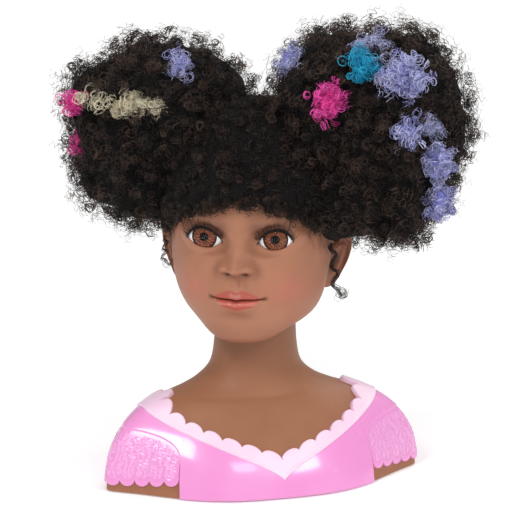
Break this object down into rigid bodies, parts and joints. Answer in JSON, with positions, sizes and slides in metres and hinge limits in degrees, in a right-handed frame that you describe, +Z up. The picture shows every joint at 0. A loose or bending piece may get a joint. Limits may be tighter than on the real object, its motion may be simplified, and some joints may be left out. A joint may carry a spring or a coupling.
{
  "type": "hair styling training head",
  "caption": "Free-standing doll-style styling head with two puffs of rooted curly hair that turns on a shoulder bust with a moulded blouse.",
  "frame": {"origin": "centre of the base pad, on the plane the bust stands on and on the neck's axis", "axes": "+Z up along the neck's axis, -Y the way the bust faces, X across the shoulders"},
  "size_m": [0.261, 0.1944, 0.298],
  "materials": {
    "skin": "satin brown vinyl",
    "pink_gloss": "high-gloss pink",
    "pale_trim": "matte pale pink",
    "base_plastic": "moulded pale grey",
    "rubber": "dull dark grey",
    "steel": "zinc plated",
    "nylon": "natural nylon",
    "eye_white": "polished white",
    "iris": "printed brown",
    "clear_acrylic": "clear polished",
    "lash": "black synthetic fibre",
    "hair": "near-black brown curled fibre",
    "hair_tie": "black elastic",
    "hair_blonde": "curled fibre",
    "hair_magenta": "curled fibre",
    "hair_lilac": "curled fibre",
    "hair_teal": "curled fibre"
  },
  "bodies": {
    "bust": {"base_plate": "base_plastic", "base_screw_1": "steel", "base_screw_2": "steel", "base_screw_3": "steel", "base_screw_4": "steel", "blouse_bodice": "pink_gloss", "bust_shell": "skin", "foot_1": "rubber", "foot_2": "rubber", "foot_3": "rubber", "foot_4": "rubber", "friction_washer": "nylon", "neck_plug": "nylon", "neckline_trim": "pale_trim", "sleeve_left": "pink_gloss", "sleeve_right": "pink_gloss"},
    "head": {"cornea_left": "clear_acrylic", "cornea_right": "clear_acrylic", "eye_cup_left": "nylon", "eye_cup_right": "nylon", "eyeball_left": "eye_white", "eyeball_right": "eye_white", "eyelash_left": "lash", "eyelash_right": "lash", "hair_crown": "hair", "hair_fringe": "hair", "hair_puff_left": "hair", "hair_puff_right": "hair", "hair_tie_left": "hair_tie", "hair_tie_right": "hair_tie", "head_shell": "skin", "iris_left": "iris", "iris_right": "iris", "lock_blonde": "hair_blonde", "lock_lilac_1": "hair_lilac", "lock_lilac_2": "hair_lilac", "lock_lilac_3": "hair_lilac", "lock_lilac_4": "hair_lilac", "lock_lilac_5": "hair_lilac", "lock_lilac_6": "hair_lilac", "lock_magenta_1": "hair_magenta", "lock_magenta_2": "hair_magenta", "lock_magenta_3": "hair_magenta", "lock_teal": "hair_teal", "neck_ring": "nylon", "side_lock_left": "hair", "side_lock_right": "hair"}
  },
  "joints": [
    {"name": "head_turn", "type": "hinge", "parent": "bust", "child": "head", "pos_m": [0, 0, 0.1055], "axis": [0, 0, 1], "continuous": true}
  ]
}
